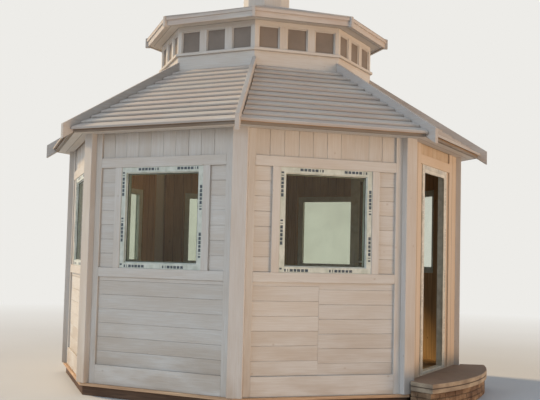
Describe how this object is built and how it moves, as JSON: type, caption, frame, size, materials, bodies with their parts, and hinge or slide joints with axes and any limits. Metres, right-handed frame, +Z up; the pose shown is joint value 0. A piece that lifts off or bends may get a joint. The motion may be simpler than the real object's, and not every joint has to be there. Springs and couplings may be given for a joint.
{
  "type": "wooden garden gazebo",
  "caption": "Eight-sided timber gazebo with framed board walls, glazed windows, a hinged glazed door, a lapped-board hipped roof, a glazed lantern and a stone doorstep.",
  "frame": {"origin": "centre of the eight-sided base on its underside, at ground level, where the middle floor joist rests", "axes": "+Z up; the door side faces -Y; +X is to the right of someone who stands outside and faces the door"},
  "size_m": [4.5918, 4.7609, 4.6016],
  "materials": {
    "painted_timber": "white primer, matt, grain showing",
    "bare_timber": "unpainted, planed",
    "white_plastic": "white window plastic under its protective film",
    "window_glass": "clear double glazing",
    "lantern_glass": "greyish panes",
    "handle_metal": "satin",
    "hinge_metal": "white enamel",
    "step_stone": "rough sawn",
    "step_brick": "small split blocks in mortar"
  },
  "bodies": {
    "gazebo": {"base_beam": "bare_timber", "base_board": "bare_timber", "bottom_rails": "painted_timber", "corner_posts": "painted_timber", "door_head": "white_plastic", "door_jambs": "white_plastic", "door_reveal_boards": "painted_timber", "door_stops": "white_plastic", "door_threshold": "white_plastic", "eave_soffit": "painted_timber", "eave_strips": "painted_timber", "finial_block": "painted_timber", "finial_cap": "painted_timber", "floor_deck": "bare_timber", "floor_joists": "bare_timber", "frieze_boards": "painted_timber", "hip_planks": "painted_timber", "jamb_hinges": "hinge_metal", "lantern_curb": "painted_timber", "lantern_glass": "lantern_glass", "lantern_head": "painted_timber", "lantern_posts": "painted_timber", "lantern_sill": "painted_timber", "lower_boards": "painted_timber", "middle_rails": "painted_timber", "roof_boards": "painted_timber", "side_boards": "painted_timber", "side_lining": "bare_timber", "step_brickwork": "step_brick", "step_lower_slab": "step_stone", "step_upper_slab": "step_stone", "top_rails": "painted_timber", "upper_fascia": "painted_timber", "upper_hips": "painted_timber", "upper_roof": "painted_timber", "upper_soffit": "painted_timber", "wall_lining": "bare_timber", "wall_plates": "bare_timber", "wall_stiles": "painted_timber", "window_glass": "window_glass", "window_heads": "white_plastic", "window_jambs": "white_plastic", "window_studs": "painted_timber"},
    "door": {"leaf_stiles": "white_plastic", "leaf_rails": "white_plastic", "leaf_glass": "window_glass", "leaf_handles": "handle_metal", "leaf_hinges": "hinge_metal"}
  },
  "joints": [
    {"name": "door_hinge", "type": "hinge", "parent": "gazebo", "child": "door", "pos_m": [-0.352, -1.911, 1.25], "axis": [0, 0, -1], "range_deg": [-20, 90]}
  ]
}
